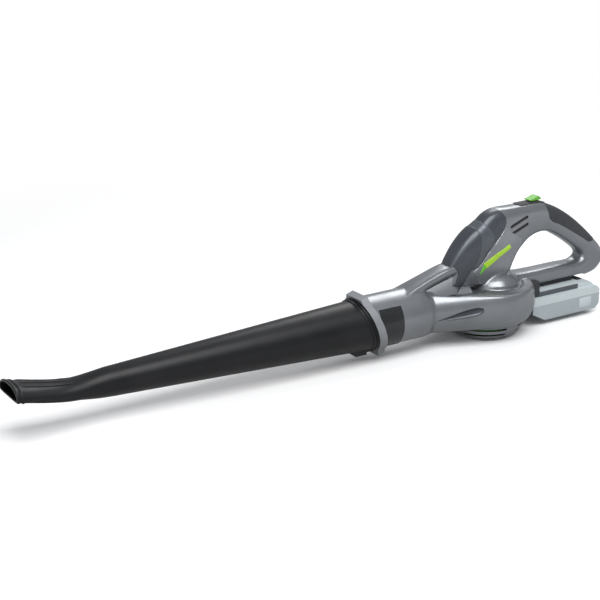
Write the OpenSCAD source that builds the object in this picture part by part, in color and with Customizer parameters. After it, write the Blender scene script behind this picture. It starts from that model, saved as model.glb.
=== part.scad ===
// Cordless leaf blower, in millimetres.
// Origin: on the fan axis, in the plane of the flat underside. +X runs
// forward to the nozzle, +Y to the user's left, +Z up. The casing splits
// on the plane Y = 0.

/* [Fan housing] */
// Radius of the round fan housing at its widest
belly_r = 83.5; // [80:0.5:100]
// Height of the slotted intake grille
grille_h = 28; // [26:1:32]
// Radius of the flat underside
foot_r = 42; // [38:1:46]
// Height of the shoulder where the fan housing ends and the dome starts
shoulder_z = 84; // [82:1:90]
// Height of the dome over the motor seat
dome_z = 108; // [104:1:114]
// Wall of the moulded casing
wall = 2.6; // [2:0.1:3.2]

/* [Air tube] */
// Height of the tube's centre line above the underside
tube_z = 60; // [58:1:64]
// Radius of the neck outside the spigot
neck_r = 43.6; // [41:0.2:48]
// Where the neck ends and the tube starts, along X
joint_x = 238; // [225:1:270]
// Lean of the joint and its collar, in degrees
joint_lean = 19; // [0:1:22]
// Outer radius of the tube at the collar
tube_r = 42.2; // [40:0.2:44]
// Outer radius of the tube where its flat tip starts
tip_r = 21.2; // [19:0.2:26]
// Length of the round, tapered stretch, from the collar
tube_len = 452; // [380:1:545]
// Length of the flat, upturned tip
tip_len = 135; // [110:1:160]
// Rise of the tip over its length
tip_rise = 22; // [0:1:34]
// Width of the mouth
mouth_w = 66; // [54:1:76]
// Height of the mouth
mouth_h = 25; // [20:0.5:32]
// Wall of the tube
tube_wall = 2.2; // [1.8:0.1:3]
// Length of the spigot that the tube slides on to
spigot_len = 42; // [30:1:55]
// Gap between spigot and tube
spigot_gap = 0.4; // [0.3:0.05:0.8]

/* [Handle] */
// Half the width of the handle
handle_hw = 18.5; // [17:0.5:21]
// Height of the handle's top
handle_z = 208; // [200:1:225]
// How far the handle's rear end lies behind the fan axis
handle_back = 255; // [240:1:300]
// Height of the top of the lower bar
bar_z = 91; // [89:1:95]
// Thickness of the lower bar
bar_t = 25; // [22:1:27]
// Thickness of the soft grip
grip_t = 2.4; // [1.6:0.1:3]
// Width of a slot in the handle's side
vent_w = 3.6; // [2.5:0.1:5]
// Length of a slot in the handle's side
vent_len = 38; // [20:1:44]

/* [Fan and motor] */
// Radius of the fan wheel
fan_r = 64; // [50:1:70]
// Number of blades on the fan wheel
blade_count = 12; // [7:1:18]
// Radius of the fan wheel's inlet
eye_r = 38; // [32:1:40]
// Radius of the motor's steel can
motor_r = 18.3; // [14:0.1:19]
// Length of the motor's steel can
motor_len = 57; // [45:1:66]
// Radius of the motor shaft
shaft_r = 1.585; // [1.5:0.005:2.5]
// Radial gap between the shaft and its bearings
shaft_gap = 0.04; // [0.02:0.01:0.08]

/* [Switch] */
// Length of the switch plate
plate_len = 61; // [52:1:66]
// Half the width of the switch plate
plate_hw = 10; // [8:0.5:12]
// Travel of the slider
slider_travel = 13; // [8:1:14]
// Length of the slider
slider_len = 23; // [16:1:25]

/* [Battery] */
// Length of the battery's case
pack_len = 158; // [140:1:175]
// Half the width of the battery's case
pack_hw = 37; // [34:1:42]
// Height of the battery's underside
pack_z = 9; // [6:1:12]
// Height of the lip where the case gives way to the raised block
pack_top = 49; // [47:1:50]
// Half the width of the raised block
block_hw = 28; // [24:1:31]
// Gap between the rail and its groove
rail_gap = 0.5; // [0.4:0.05:0.8]
// Radius of a battery cell
cell_r = 9; // [7:0.1:9.2]
// Length of a battery cell
cell_len = 65; // [50:1:67]

/* [Hidden] */
gap = 0.3;             // clearance between faces of different bodies
deck_z = 71;           // underside of the deck over the fan chamber
deck_t = 3;
deck_top = deck_z + deck_t;
waist_x = 128;         // where the fan housing runs into the neck
waist_r = 39;
strut_x = 178;         // front end of the strut, on top of the neck
tip_x = joint_x + tube_len;
mouth_x = tip_x + tip_len;
bar_low = bar_z - bar_t;
block_top = bar_low - 8;
blade_y = 18;
pack_front = -68;
pack_back = pack_front - pack_len;
holder_front = -62;
holder_back = -97;
motor_z = deck_top + 0.2;
shaft_low = grille_h - 8;
hub_r = 9;
screw_r = 1.5;
boss_r = 4.2;
grip_front = -121;
switch_x = -90;
vent_slope = 18;
flange_r = 66;         // outer edge of the grille's flange
floor_hole_r = 46;     // hole in the casing's floor over the grille
grille_screw_r = 50;
grille_screw_angles = [9, 99, 189, 279];

// ---------- helpers ----------

function lerp(a, b, t) = a + (b - a) * t;
function signed_pow(v, p) = sign(v) * pow(abs(v), p);

// One value of a Catmull-Rom curve through a, b, c and d
function curve(a, b, c, d, t) =
    0.5 * (2 * b + (c - a) * t + (2 * a - 5 * b + 4 * c - d) * t * t
        + (3 * b - a - 3 * c + d) * t * t * t);

// A smooth run of stations through the given ones
function smooth(list, steps) = [
    for (i = [0 : len(list) - 2]) for (k = [0 : steps - 1])
        curve(list[max(i - 1, 0)], list[i], list[i + 1], list[min(i + 2, len(list) - 1)], k / steps),
    list[len(list) - 1]];

// Points of one section: a rounded rectangle between an outer and an inner
// point of the side view, [outer x, outer z, inner x, inner z, half width]
function section(s, skin, count, roundness) =
    let(cx = (s[0] + s[2]) / 2, cz = (s[1] + s[3]) / 2,
        span = norm([s[0] - s[2], s[1] - s[3]]),
        k = (span - 2 * skin) / span,
        tx = (s[0] - s[2]) / 2 * k, tz = (s[1] - s[3]) / 2 * k, w = s[4] - skin)
    [for (j = [0 : count - 1]) let(a = 360 * (j + 0.5) / count,
        c = signed_pow(cos(a), roundness), y = signed_pow(sin(a), roundness))
        [cx + tx * c, w * y, cz + tz * c]];

// A closed skin through a run of sections
module loft(stations, skin = 0, count = 16, roundness = 0.62) {
    n = len(stations);
    points = [for (s = stations) each section(s, skin, count, roundness)];
    sides = [for (i = [0 : n - 2]) for (j = [0 : count - 1])
        let(a = i * count + j, b = i * count + (j + 1) % count)
        each [[a, b + count, b], [a, a + count, b + count]]];
    polyhedron(points, concat(sides,
        [[for (j = [0 : count - 1]) j], [for (j = [count - 1 : -1 : 0]) (n - 1) * count + j]]));
}

// Turns a drawing in (X, Z) into a slab across Y
module slab(y0, y1) {
    translate([0, y1, 0]) rotate([90, 0, 0]) linear_extrude(y1 - y0) children();
}

module along_x(x) {
    translate([x, 0, tube_z]) rotate([0, 90, 0]) children();
}

// Everything in front of the leaning joint plane, moved forward by d
module ahead_of_joint(d) {
    translate([joint_x + d, 0, tube_z]) rotate([0, joint_lean, 0])
        translate([0, -150, -150]) cube([900, 300, 300]);
}

module half(side) {
    translate([-400, side > 0 ? 0 : -200, -10]) cube([1000, 200, 300]);
}

// ---------- casing ----------

// Side view of the fan housing: a round belly under a flat shoulder
belly_low_z = grille_h + gap;
belly_mid = 60;
floor_r = flange_r + 2.5;
function belly(skin) = concat(
    [for (a = [0 : 15 : 90]) [
        lerp(floor_r, belly_r, sin(a)) - skin,
        lerp(belly_mid, belly_low_z, cos(a)) + skin * cos(a)]],
    [for (a = [15 : 15 : 60]) [
        belly_r - 9 * (1 - cos(a)) - skin,
        belly_mid + (shoulder_z - belly_mid) * sin(a) / sin(60) - skin * sin(a) / sin(60)]]);

module belly_shape(skin = 0) {
    points = belly(skin);
    last = points[len(points) - 1];
    rotate_extrude($fn = 48) polygon(concat([[0, points[0][1]]], points, [[0, last[1]]]));
}

module fan_housing(skin = 0) {
    hull() {
        belly_shape(skin);
        along_x(waist_x) cylinder(r = waist_r - skin, h = 1, $fn = 32);
    }
    along_x(0) rotate_extrude($fn = 64) polygon([
        [0, waist_x - 9], [waist_r - 1.5 - skin, waist_x - 9], [waist_r + 0.7 - skin, waist_x + 2],
        [neck_r - 0.6 - skin, waist_x + 12],
        [neck_r + 0.6 - skin, waist_x + 24], [neck_r - skin, joint_x - 20],
        [neck_r - skin, joint_x + 20], [0, joint_x + 20]]);
}

module dome(skin = 0) {
    rotate_extrude($fn = 64) polygon([
        [0, deck_z], [57 - skin, deck_z], [57 - skin, shoulder_z + 1], [53 - skin, shoulder_z + 6 - skin / 2],
        [48 - skin, dome_z - 9 - skin / 2], [43 - skin, dome_z - 3 - skin], [32 - skin, dome_z - skin],
        [0, dome_z - skin]]);
}

// The air's way: fan chamber, duct and the neck's bore
module air_way(grow = 0) {
    hull() {
        rotate_extrude($fn = 48) polygon([
            [0, belly_low_z + wall - grow], [56 + grow, belly_low_z + wall - grow],
            [72 + grow, belly_low_z + 9 - grow], [belly_r - wall - 1 + grow, 52],
            [belly_r - wall - 1.4 + grow, deck_z + grow], [0, deck_z + grow]]);
        along_x(waist_x) cylinder(r = waist_r - wall - 0.6 + grow, h = 1, $fn = 32);
    }
    along_x(waist_x - 5) cylinder(r = waist_r - wall - 1.4 + grow, h = joint_x + 120 - waist_x, $fn = 64);
}

// Sections of the spine and handle, from the dome up, over and down
// to the rear end of the bar
spine = [
    [94, 96, -42, 84, 28], [85, 122, -50, 106, 27], [72, 144, -56, 120, 26],
    [57, 162, -62, 131, 25], [40, 177, -69, 138, 23.5], [20, 189, -76, 143.5, 22],
    [2, handle_z - 6, -83, 148, 21], [-20, handle_z, -90, 151, 20],
    [-48, handle_z, -97, 153.5, handle_hw + 0.8], [-78, handle_z, -105, 155, handle_hw + 0.3],
    [-107, handle_z - 1, -114, 155.5, handle_hw], [-137, handle_z - 12, -127, 153, handle_hw],
    [-162, handle_z - 26, -142, 146, handle_hw], [-185, handle_z - 42, -160, 135.5, handle_hw],
    [-208, handle_z - 61, -179, 123, handle_hw],
    [23 - handle_back, handle_z - 83, -194, 112, handle_hw],
    [8 - handle_back, handle_z - 99, -201, 105, handle_hw],
    [-handle_back, handle_z - 114, -203, 99, handle_hw],
    [5 - handle_back, handle_z - 128, -198, bar_z + 3, handle_hw],
    [19 - handle_back, bar_low + 2, -188, bar_z, handle_hw + 0.2],
    [41 - handle_back, bar_low - 3, -172, bar_z, handle_hw + 0.3]];
bar = [
    [32 - handle_back, bar_low - 0.4, -177, bar_z - 0.7, handle_hw - 0.3],
    [-190, bar_low, -160, bar_z, handle_hw + 0.4], [-150, bar_low, -135, bar_z, handle_hw + 0.5],
    [-110, bar_low, -105, bar_z, handle_hw + 0.5], [-72, bar_low, -72, bar_z + 1, handle_hw + 1],
    [-40, bar_low + 8, -42, bar_z + 4, handle_hw + 2]];
// Sections of the strut from the neck's top back to the spine
strut = [
    [strut_x + 4, 99, strut_x - 2, 88, 22], [strut_x - 12, 104, strut_x - 14, 89, 21],
    [150, 109.5, 145, 94, 19.5], [120, 119, 115, 102.5, 18], [92, 127, 86, 110, 18],
    [66, 131, 62, 114, 18]];

module upper_frame(skin = 0) {
    loft(smooth(spine, 2), skin);
    loft(smooth(bar, 2), skin, 16, 0.55);
    loft(smooth(strut, 2), skin);
}

// Thin web between the strut, the spine and the shoulder
module web() {
    slab(-11, 11) polygon([[150, 92], [88, 106], [60, 106], [60, 82], [120, 80], [165, 84]]);
}

// Grey foot that carries the rail holder under the bar
module rail_foot() {
    translate([-76, -handle_hw, bar_low - 8]) cube([26, 2 * handle_hw, 12]);
}

screw_places = [[118, 108], [8, 188], [-118, 178], [-232, 92], [-60, 79], [160, 98]];

// Screw bosses, each with a rib that ties it to the casing's wall
module bosses() {
    for (p = screw_places) hull() {
        slab(-30, 30) translate(p) circle(r = boss_r, $fn = 24);
        slab(-30, 30) translate([p[0] - 1, p[1] - 9]) circle(r = 1, $fn = 16);
    }
}

module screw_shafts(r, y0, y1) {
    for (p = screw_places) slab(y0, y1) translate(p) circle(r = r, $fn = 32);
}

module grip_zone() {
    slab(-40, 40) polygon([[grip_front, handle_z + 20], [grip_front, handle_z - 12],
        [-126, handle_z - 24], [-129, handle_z - 33], [-142, handle_z - 42], [-160, handle_z - 52],
        [-185, handle_z - 67], [-212, handle_z - 84], [-222, handle_z - 84],
        [-238, handle_z - 70], [-260, handle_z - 52], [-260, handle_z + 20]]);
}

module grip_bed() {
    difference() {
        intersection() {
            loft(smooth(spine, 2), -0.5);
            grip_zone();
        }
        loft(smooth(spine, 2), grip_t);
    }
}

// Seat of the switch plate, with the slot for the slider's stem
module switch_pocket(d = 0) {
    translate([slider_x - 6, -5, handle_z - 14]) cube([slider_len + slider_travel, 10, 20]);
    translate([switch_x - plate_len / 2 - d, -plate_hw - d, handle_z - 4 - d])
        cube([plate_len + 2 * d, 2 * (plate_hw + d), 20]);
}

module vents() {
    for (k = [0, 1]) translate([-50 + k * 2, 0, 184 - k * 11]) rotate([0, vent_slope, 0])
        translate([-vent_len / 2, 0, -vent_w / 2]) cube([vent_len, 60, vent_w]);
}

// The lime bar's outline in the side view
accent_low = [24, 114];
accent_high = [-34, 153];
accent_w = 9;
module accent_outline(d = 0) {
    lean = atan2(accent_high[1] - accent_low[1], accent_high[0] - accent_low[0]);
    translate(accent_low) rotate(lean)
        translate([-d, -accent_w / 2 - d]) square([norm(accent_high - accent_low) + 2 * d, accent_w + 2 * d]);
}

module housing(side) {
    difference() {
        intersection() {
            union() {
                difference() {
                    union() {
                        fan_housing();
                        dome();
                        upper_frame();
                        web();
                        rail_foot();
                    }
                    air_way();
                    // dry space for motor, board and leads
                    difference() {
                        union() {
                            loft(smooth(spine, 2), wall + grip_t);
                            loft(smooth(bar, 2), wall + 1, 16, 0.55);
                            difference() {
                                dome(wall);
                                translate([0, 0, deck_z - 1]) cylinder(r = 90, h = deck_t + 1);
                            }
                        }
                        air_way(wall);
                    }
                }
                intersection() {
                    bosses();
                    upper_frame(1);
                }
            }
            half(side);
        }
        // shaft hole in the deck and the seat of the intake grille
        translate([0, 0, deck_z - 5]) cylinder(r = 6.5, h = 14, $fn = 32);
        translate([0, 0, -1]) cylinder(r = flange_r + gap, h = belly_low_z + 1, $fn = 64);
        cylinder(r = floor_hole_r, h = grille_h + 8, $fn = 64);
        for (a = grille_screw_angles) rotate(a) translate([grille_screw_r, 0, grille_h])
            cylinder(r = screw_r + 0.1, h = 6, $fn = 24);
        // the joint with the tube, and the spigot's own seat
        ahead_of_joint(-gap);
        along_x(spigot_x) cylinder(r = neck_r - wall + 0.05, h = 90, $fn = 64);
        grip_bed();
        switch_pocket(0.1);
        mirror([0, side > 0 ? 0 : 1, 0]) {
            translate([0, 9, 0]) vents();
            slab(26 - 2.2, 40) accent_outline(0.1);
        }
        band_seat(0.1);
        screw_shafts(screw_r + 0.1, -14.5, 9.5);
        if (side < 0) screw_shafts(3.6, -60, -9);
        rail_slot();
        inner_clearance();
    }
}

// Room for the pieces that stand in the casing
module inner_clearance() {
    translate([0, 0, deck_top]) cylinder(r = 36, h = 7, $fn = 48);
    translate([0, 0, deck_top]) cylinder(r = motor_r + 5, h = motor_len + 12, $fn = 48);
}

module rail_slot() {
    translate([holder_back - 1, -15, bar_low - 1]) cube([holder_front - holder_back + 20, 30, 6.4]);
    translate([-190.5, -9.5, bar_low - 1]) cube([100, 19, 5.2]);
}

module left_housing() {
    color("#85888c") housing(1);
}

module right_housing() {
    color("#85888c") housing(-1);
}

// ---------- neck ----------

collar_t = 13;
collar_r = neck_r + 2.4;

// The slab between two planes that lean like the joint
module leaning_slab(t) {
    translate([joint_x, 0, tube_z]) rotate([0, joint_lean, 0])
        translate([-t / 2, -90, -90]) cube([t, 180, 180]);
}

// Flat ear above and below the collar, to turn the tube against
module collar_ears() {
    ear_hw = 20;
    ear_h = collar_r + 5.6;
    flank = 38;
    translate([joint_x, 0, tube_z]) rotate([0, 90 + joint_lean, 0])
        translate([0, 0, -collar_t / 2]) linear_extrude(collar_t) for (s = [-1, 1]) polygon([
            [s * ear_h, -ear_hw], [s * ear_h, ear_hw],
            [s * collar_r * cos(flank), collar_r * sin(flank)],
            [s * collar_r * cos(flank), -collar_r * sin(flank)]]);
}

module collar_ring() {
    color("#a3a6a9") difference() {
        union() {
            intersection() {
                along_x(joint_x - 60) cylinder(r = collar_r, h = 120, $fn = 96);
                leaning_slab(collar_t);
            }
            collar_ears();
        }
        along_x(joint_x - 60) cylinder(r = neck_r + 0.2, h = 120, $fn = 96);
        // room under the tube for its latch
        translate([joint_x - 40, -9.5, tube_z - neck_r - 4.6]) cube([80, 19, 10]);
    }
}

// Spigot held in the neck's end, which takes the tube
function tube_outer(x) = lerp(tube_r, tip_r, (x - joint_x) / tube_len);
spigot_x = joint_x - 34;
module tube_spigot() {
    seat = neck_r - wall;
    seat_len = 14;
    end_x = joint_x + spigot_len;
    bore = waist_r - wall - 1.4;
    root = tube_outer(spigot_x + seat_len) - tube_wall - spigot_gap;
    tip = tube_outer(end_x) - tube_wall - spigot_gap;
    color("#55585c") difference() {
        along_x(0) rotate_extrude($fn = 96) polygon([
            [bore, spigot_x], [seat, spigot_x], [seat, spigot_x + seat_len],
            [root, spigot_x + seat_len], [tip, end_x], [tip - wall, end_x],
            [bore, spigot_x + seat_len - 2]]);
        // slot for the latch's hook
        translate([joint_x - 6, -7.2, tube_z - tube_r - 1]) cube([38, 14.4, 14]);
    }
}

band_x = joint_x - 44;
band_len = 42;
band_top = 30;       // the band's upper edge over the tube's axis
module band_seat(d = 0) {
    difference() {
        translate([band_x - d, 0, tube_z]) rotate([0, 90, 0])
            cylinder(r = neck_r + 5, h = band_len + 2 * d, $fn = 96);
        translate([band_x - 1, 0, tube_z]) rotate([0, 90, 0])
            cylinder(r = neck_r - 1 - d, h = band_len + 4, $fn = 96);
        translate([band_x - 2, -60, tube_z + band_top + d]) cube([80, 120, 60]);
        translate([band_x - 2, -60, tube_z - 94 - d]) cube([80, 120, 60]);
        ahead_of_joint(-collar_t / 2 / cos(joint_lean) - 0.5 + d);
    }
}

module neck_band(side) {
    color("#26292d") intersection() {
        difference() {
            band_seat(0);
            difference() {
                along_x(band_x - 5) cylinder(r = neck_r + 20, h = 90, $fn = 32);
                along_x(band_x - 6) cylinder(r = neck_r + 0.6, h = 92, $fn = 96);
            }
        }
        half(side);
    }
}

module neck_band_left() {
    neck_band(1);
}

module neck_band_right() {
    neck_band(-1);
}

// ---------- intake ----------

slot_span = 66;
slot_start = 21;
module sector(r, start, span) {
    polygon(concat([[0, 0]], [for (k = [0 : 6]) [r * cos(start + span * k / 6), r * sin(start + span * k / 6)]]));
}

module intake_grille() {
    color("#76797d") difference() {
        rotate_extrude($fn = 96) polygon([
            [0, 0], [foot_r, 0], [foot_r + 4, 1.6], [foot_r + 10, 4], [foot_r + 16, 8], [foot_r + 20.5, 15],
            [flange_r - 1, grille_h - 5], [flange_r, grille_h], [48, grille_h], [48, grille_h - 3.7],
            [flange_r - 4, grille_h - 3.7], [foot_r + 17.7, 16], [foot_r + 13.4, 9.5], [foot_r + 8.4, 6],
            [foot_r + 2, 3.6], [foot_r - 1, 2.6], [0, 2.6]]);
        for (k = [0 : 3]) for (z = [11, 20.4]) translate([0, 0, z])
            linear_extrude(3.8) sector(70, slot_start + 90 * k, slot_span);
        for (a = grille_screw_angles) rotate(a) translate([grille_screw_r, 0, -1]) {
            cylinder(r = screw_r + 0.1, h = 40, $fn = 32);
            cylinder(r = 3.2, h = grille_h - 2.8, $fn = 32);
        }
    }
}

// Plate over the casing's floor that closes round the fan's inlet
module inlet_ring() {
    z = belly_low_z + wall + 0.05;
    color("#3a3d40") difference() {
        translate([0, 0, z]) cylinder(r = grille_screw_r + 4, h = 2, $fn = 96);
        translate([0, 0, z - 1]) cylinder(r = eye_r + 2.4, h = 5, $fn = 96);
        for (a = grille_screw_angles) rotate(a) translate([grille_screw_r, 0, z - 1])
            cylinder(r = screw_r + 0.05, h = 12, $fn = 32);
    }
}

// ---------- handle trim ----------

module grip_overmold() {
    color("#3e4043") difference() {
        intersection() {
            loft(smooth(spine, 2));
            grip_zone();
        }
        loft(smooth(spine, 2), grip_t);
    }
}

module switch_plate() {
    slot_len = slider_len - 8 + slider_travel + 1;
    color("#26282b") difference() {
        hull() for (s = [-1, 1]) translate([switch_x + s * (plate_len / 2 - plate_hw), 0, handle_z - 4])
            cylinder(r = plate_hw, h = 7, $fn = 32);
        translate([slider_x - 4, -4.5, handle_z - 10]) cube([slot_len, 9, 30]);
    }
}

slider_x = -103;
module switch_slider() {
    color("#6fc02a") {
        slab(-7.5, 7.5) polygon([
            [slider_x - 6, handle_z + 3 + gap], [slider_x + slider_len - 6, handle_z + 3 + gap],
            [slider_x + slider_len - 6, handle_z + 5], [slider_x + slider_len - 13, handle_z + 6],
            [slider_x + 2, handle_z + 9], [slider_x - 2, handle_z + 9], [slider_x - 6, handle_z + 5]]);
        translate([slider_x - 3.4, -4.1, handle_z - 9]) cube([slider_len - 9, 8.2, 12.5]);
    }
}

module accent(side) {
    color("#a2cc30") mirror([0, side > 0 ? 0 : 1, 0]) slab(26 - 2, 27) accent_outline();
}

module side_accent_left() {
    accent(1);
}

module side_accent_right() {
    accent(-1);
}

// ---------- motor ----------

bearing_r = 5;
bearing_h = 4;
module motor_can() {
    color("#9a9da1") difference() {
        translate([0, 0, motor_z]) cylinder(r = motor_r, h = motor_len, $fn = 64);
        translate([0, 0, motor_z + 2]) cylinder(r = motor_r - 1.6, h = motor_len - 4, $fn = 64);
        translate([0, 0, motor_z - 1]) cylinder(r = bearing_r, h = bearing_h, $fn = 48);
        translate([0, 0, motor_z + motor_len - 3]) cylinder(r = bearing_r, h = bearing_h, $fn = 48);
    }
}

module motor_mount() {
    color("#4b4e52") difference() {
        union() {
            translate([0, 0, deck_top]) cylinder(r = 34, h = 3, $fn = 64);
            translate([0, 0, deck_top]) cylinder(r = motor_r + 3.2, h = 22, $fn = 64);
        }
        translate([0, 0, deck_top - 1]) cylinder(r = motor_r + 0.01, h = 40, $fn = 64);
        for (a = mount_angles) rotate(a) translate([28, 0, deck_top - 1]) cylinder(r = screw_r + 0.1, h = 10, $fn = 32);
    }
}
mount_angles = [30, 150, 270];

module bearing(z) {
    color("#c9b074") difference() {
        translate([0, 0, z]) cylinder(r = bearing_r, h = bearing_h - 1, $fn = 48);
        translate([0, 0, z - 1]) cylinder(r = shaft_r + shaft_gap, h = bearing_h + 2, $fn = 48);
    }
}

module bearing_lower() {
    bearing(motor_z);
}

module bearing_upper() {
    bearing(motor_z + motor_len - 3);
}

commutator_z = motor_z + motor_len - 16;
module brush_holders() {
    color("#35373a") for (a = [0, 180]) rotate(a) difference() {
        translate([6.3, -2.5, commutator_z + 1]) cube([motor_r - 1.9 - 6.3, 5, 5]);
        translate([9, -1.2, commutator_z + 4]) cube([20, 2.4, 4]);
    }
}

module motor_shaft() {
    color("#c4c7ca") translate([0, 0, shaft_low]) cylinder(r = shaft_r, h = motor_z + motor_len + 2 - shaft_low, $fn = 48);
}

module rotor_core() {
    color("#8d5a2b") difference() {
        translate([0, 0, motor_z + 9]) cylinder(r = 11.5, h = motor_len - 28, $fn = 48);
        translate([0, 0, motor_z]) cylinder(r = shaft_r, h = motor_len, $fn = 48);
        for (k = [0 : 4]) rotate(72 * k) translate([10, -1, motor_z]) cube([4, 2, motor_len]);
    }
}

module commutator() {
    color("#b5773b") difference() {
        translate([0, 0, commutator_z]) cylinder(r = 6, h = 7, $fn = 48);
        translate([0, 0, commutator_z - 1]) cylinder(r = shaft_r, h = 9, $fn = 48);
    }
}

// ---------- fan wheel ----------

shroud_low = grille_h + 13;
back_z = deck_z - 11;
module fan_wheel() {
    color("#5fae2e") difference() {
        union() {
            translate([0, 0, back_z]) cylinder(r = fan_r, h = 2, $fn = 96);
            translate([0, 0, shaft_low + 4.6]) cylinder(r = hub_r, h = back_z - shaft_low, $fn = 48);
            // shroud with the inlet's collar
            rotate_extrude($fn = 96) polygon([
                [eye_r - 2, 10], [eye_r, 10], [eye_r, grille_h + 8], [fan_r, shroud_low],
                [fan_r, shroud_low + 2], [eye_r - 2, grille_h + 10]]);
            for (k = [0 : blade_count - 1]) rotate(360 * k / blade_count) blade();
        }
        translate([0, 0, 0]) cylinder(r = shaft_r, h = 90, $fn = 48);
    }
}

// One backward-curved blade between backplate and shroud
blade_r = 52;
module blade() {
    intersection() {
        translate([26, -blade_r + 8, grille_h]) difference() {
            cylinder(r = blade_r + 1, h = back_z - grille_h + 1, $fn = 64);
            translate([0, 0, -1]) cylinder(r = blade_r - 1, h = back_z - grille_h + 3, $fn = 64);
        }
        rotate_extrude($fn = 64) polygon([
            [24, grille_h + 10], [eye_r - 1, grille_h + 9], [fan_r, shroud_low + 1], [fan_r, back_z + 1], [24, back_z + 1]]);
        translate([0, 0, grille_h]) cube([80, 80, 60]);
    }
}

module shaft_nut() {
    color("#c4c7ca") difference() {
        translate([0, 0, shaft_low + 1.6]) cylinder(r = 4, h = 3, $fn = 6);
        translate([0, 0, shaft_low]) cylinder(r = shaft_r, h = 9, $fn = 48);
    }
}

// ---------- electrics ----------

board_z = handle_z - 30;
module control_board() {
    color("#2e6b3a") {
        translate([-108, -12, board_z]) cube([62, 24, 1.6]);
    }
    color("#22252a") {
        translate([-70, -8, board_z + 1.6]) cube([12, 12, 4]);
        translate([-56, -5, board_z + 1.6]) cylinder(r = 4, h = 8, $fn = 32);
    }
}

module microswitch() {
    color("#1f2124") difference() {
        translate([slider_x - 6, -5, board_z + 1.61]) cube([slider_len + 10, 10, 16]);
        translate([slider_x - 4.5, -4.5, board_z + 12]) cube([slider_len + 7, 9, 10]);
    }
}

module rail_holder() {
    color("#2b2e32") difference() {
        union() {
            difference() {
                translate([holder_back, -block_hw, pack_top + gap])
                    cube([holder_front - holder_back, 2 * block_hw, bar_low + 10 - pack_top - gap]);
                // the bar's own foot stands in the middle
                translate([holder_back - 1, -handle_hw - 0.9, bar_low - 8.01])
                    cube([60, 2 * handle_hw + 1.8, 60]);
                cylinder(r = belly_r + 0.5, h = 120, $fn = 96);
            }
            difference() {
                translate([holder_back, -14, bar_low - 9]) cube([holder_front - holder_back - 6, 28, 9 + 4.6]);
                cylinder(r = belly_r + 0.5, h = 120, $fn = 96);
            }
            rail_bar(0);
        }
        for (y = [-blade_y, blade_y]) translate([holder_back - 1, y - 0.4, pack_top + 1.5]) cube([8, 0.8, 6]);
    }
}

// T-shaped rail that the battery hangs on
rail_end = -188;
module rail_bar(d) {
    length = holder_back - rail_end + 2 * d + 0.5;
    translate([rail_end - d, -8 - d, bar_low - 13]) cube([length, 2 * (8 + d), 13 + 4 + d]);
    translate([rail_end - d, -13 - d, bar_low - 16.5 - d]) cube([length, 2 * (13 + d), 4.5 + 2 * d]);
}

module terminal_blades() {
    color("#d2b15a") for (y = [-blade_y, blade_y]) translate([holder_back - 9, y - 0.4, pack_top + 1.5])
        cube([16, 0.8, 6]);
}

lead_r = 1.3;
module lead(y) {
    translate([-100, y, board_z - 1.4]) rotate([0, 90, 0]) cylinder(r = lead_r, h = 78, $fn = 24);
    translate([-22, y, board_z - 1.4]) sphere(r = lead_r, $fn = 24);
    translate([-22, y, board_z - 1.4]) rotate([0, 144, 0]) cylinder(r = lead_r, h = 48, $fn = 24);
}

module power_leads() {
    color("#b3262a") lead(-5);
    color("#1d1d1f") lead(5);
}

// ---------- fasteners ----------

module screw(head, h, reach) {
    cylinder(r = head, h = h, $fn = 32);
    translate([0, 0, h - 0.01]) cylinder(r = screw_r, h = reach, $fn = 32);
}

module housing_screws() {
    color("#6f7276") for (p = screw_places) difference() {
        translate([p[0], -11.5, p[1]]) rotate([-90, 0, 0]) screw(3.2, 2.4, 18);
        translate([p[0] - 2, -12, p[1] - 0.4]) cube([4, 1.6, 0.8]);
        translate([p[0] - 0.4, -12, p[1] - 2]) cube([0.8, 1.6, 4]);
    }
}

module grille_screws() {
    color("#6f7276") for (a = grille_screw_angles) rotate(a)
        translate([grille_screw_r, 0, grille_h - 5.6]) difference() {
            screw(3, 1.8, 9.4);
            translate([-2, -0.4, -1]) cube([4, 0.8, 1.7]);
            translate([-0.4, -2, -1]) cube([0.8, 4, 1.7]);
        }
}

module mount_screws() {
    color("#6f7276") for (a = mount_angles) rotate(a) translate([28, 0, deck_top + 5.4])
        mirror([0, 0, 1]) screw(3, 2.4, 4);
}

// ---------- tube ----------

// Outline of the flat tip: flat below, arched above, [across, up]
function mouth_outline(w, h, corner) = concat(
    [for (a = [0 : 12 : 180]) [w / 2 * cos(a), corner + (h - corner) * sin(a)]],
    [for (a = [180 : 45 : 270]) [-w / 2 + corner + corner * cos(a), corner + corner * sin(a)]],
    [for (a = [270 : 45 : 360]) [w / 2 - corner + corner * cos(a), corner + corner * sin(a)]]);

// A thin slice of the tip, standing at x with its flat side at z
module tip_slice(x, z, w, h, skin) {
    translate([x, 0, z]) rotate([90 , 0, 90]) linear_extrude(0.5)
        translate([0, skin]) polygon(mouth_outline(w - 2 * skin, h - 2 * skin, 5 - skin / 2));
}

tip_start = tip_x - 6;
knee_x = tip_x + 58;
knee_z = tube_z - 9;
knee_w = 50;
knee_h = 28;
mouth_z = tube_z - 10 + tip_rise;
module tip_body(skin) {
    hull() {
        along_x(tip_start) cylinder(r = tip_r + 0.9 - skin, h = 0.5, $fn = 32);
        tip_slice(knee_x, knee_z, knee_w, knee_h, skin);
    }
    hull() {
        tip_slice(knee_x, knee_z, knee_w, knee_h, skin);
        tip_slice(mouth_x - 0.5 + skin / 4, mouth_z, mouth_w, mouth_h, skin);
    }
}

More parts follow.
